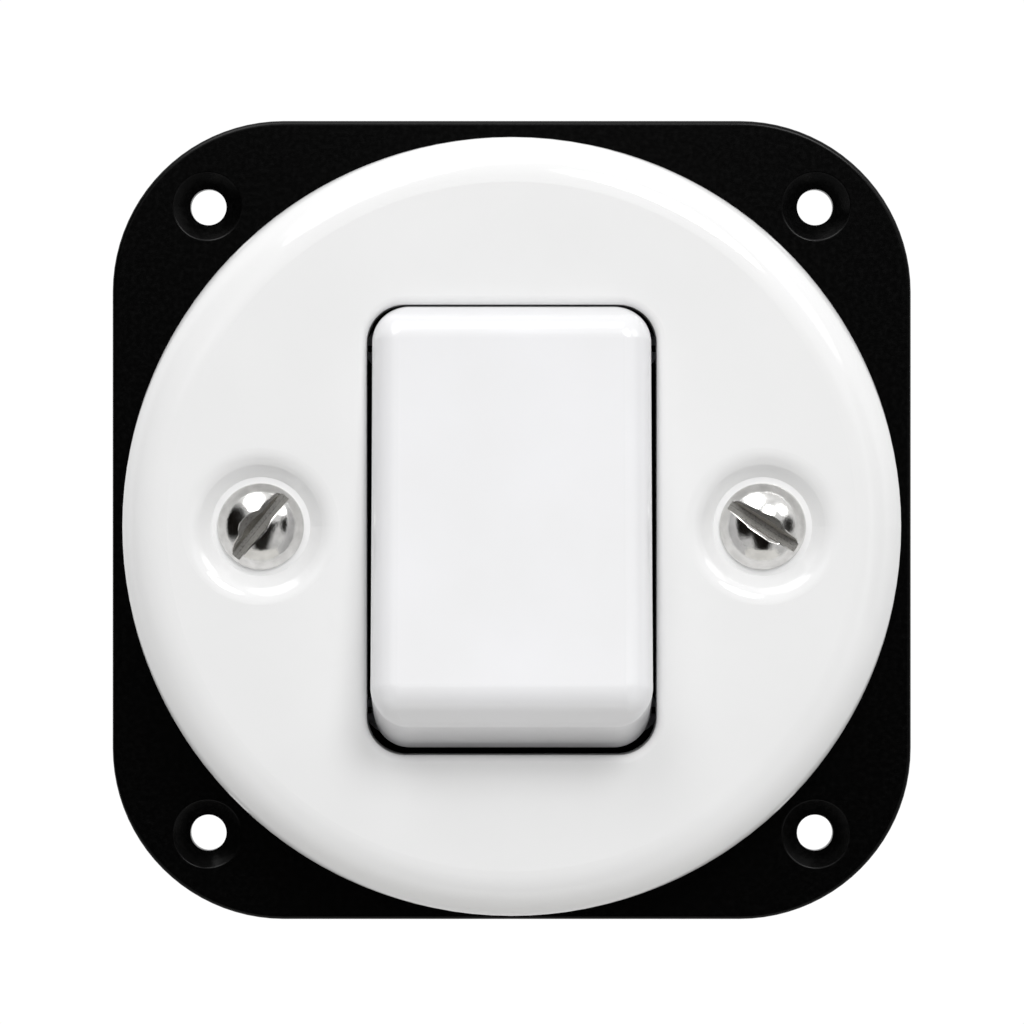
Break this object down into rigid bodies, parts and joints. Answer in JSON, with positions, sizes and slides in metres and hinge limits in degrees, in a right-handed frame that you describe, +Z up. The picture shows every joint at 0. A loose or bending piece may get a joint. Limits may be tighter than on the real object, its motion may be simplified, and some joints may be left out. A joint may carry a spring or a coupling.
{
  "type": "rocker light switch",
  "caption": "Wall light switch: round glazed porcelain cover on a square black plate, slotted screws, and a white rocker that tips a contact see-saw behind the plate.",
  "frame": {"origin": "centre of the mounting plate's back, on the wall", "axes": "+Z up the wall, +X to the right seen from the front, +Y into the wall; the rocker faces -Y"},
  "size_m": [0.084, 0.044, 0.084],
  "materials": {
    "black_thermoset": "satin moulded phenolic",
    "porcelain": "clear glaze over white porcelain",
    "steatite": "unglazed pressed steatite",
    "white_thermoset": "gloss moulded urea",
    "grey_thermoset": "moulded, plain",
    "steel": "zinc plated",
    "brass": "stamped and turned",
    "nickel": "nickel plated, polished",
    "silver": "fine silver rivets"
  },
  "bodies": {
    "housing": {"mounting_plate": "black_thermoset", "porcelain_cover": "porcelain", "cover_screw_left": "nickel", "cover_screw_right": "nickel", "threaded_insert_left": "brass", "threaded_insert_right": "brass", "mechanism_base": "steatite", "base_screw_upper_left": "steel", "base_screw_upper_right": "steel", "base_screw_lower_left": "steel", "base_screw_lower_right": "steel", "pivot_pin": "steel", "common_terminal": "brass", "upper_terminal": "brass", "lower_terminal": "brass", "fixed_contact_upper": "silver", "fixed_contact_lower": "silver", "clamp_screw_upper": "steel", "clamp_screw_lower": "steel", "clamp_screw_common": "steel"},
    "rocker": {"rocker": "white_thermoset", "cradle": "grey_thermoset", "rocker_clip_upper": "steel", "rocker_clip_lower": "steel", "plunger_spring": "steel"},
    "plunger": {"plunger": "brass"},
    "see_saw": {"contact_see_saw": "brass", "moving_contact_upper": "silver", "moving_contact_lower": "silver"}
  },
  "joints": [
    {"name": "rocker_tilt", "type": "hinge", "parent": "housing", "child": "rocker", "pos_m": [0, -0.007, -0.001], "axis": [1, 0, 0], "range_deg": [0, 18]},
    {"name": "plunger_slide", "type": "slide", "parent": "rocker", "child": "plunger", "axis": [0, -0.9877, 0.1564], "range_m": [0, 0.0008], "stiffness_N_per_m": 800, "springref_m": -0.0025, "deforming": ["plunger_spring"]},
    {"name": "see_saw_tilt", "type": "hinge", "parent": "housing", "child": "see_saw", "pos_m": [0, 0.0071, -0.001], "axis": [1, 0, 0], "range_deg": [-14, 0]}
  ],
  "couplings": [
    {"joint": "see_saw_tilt", "follows": "rocker_tilt", "ratio": -0.7777}
  ]
}
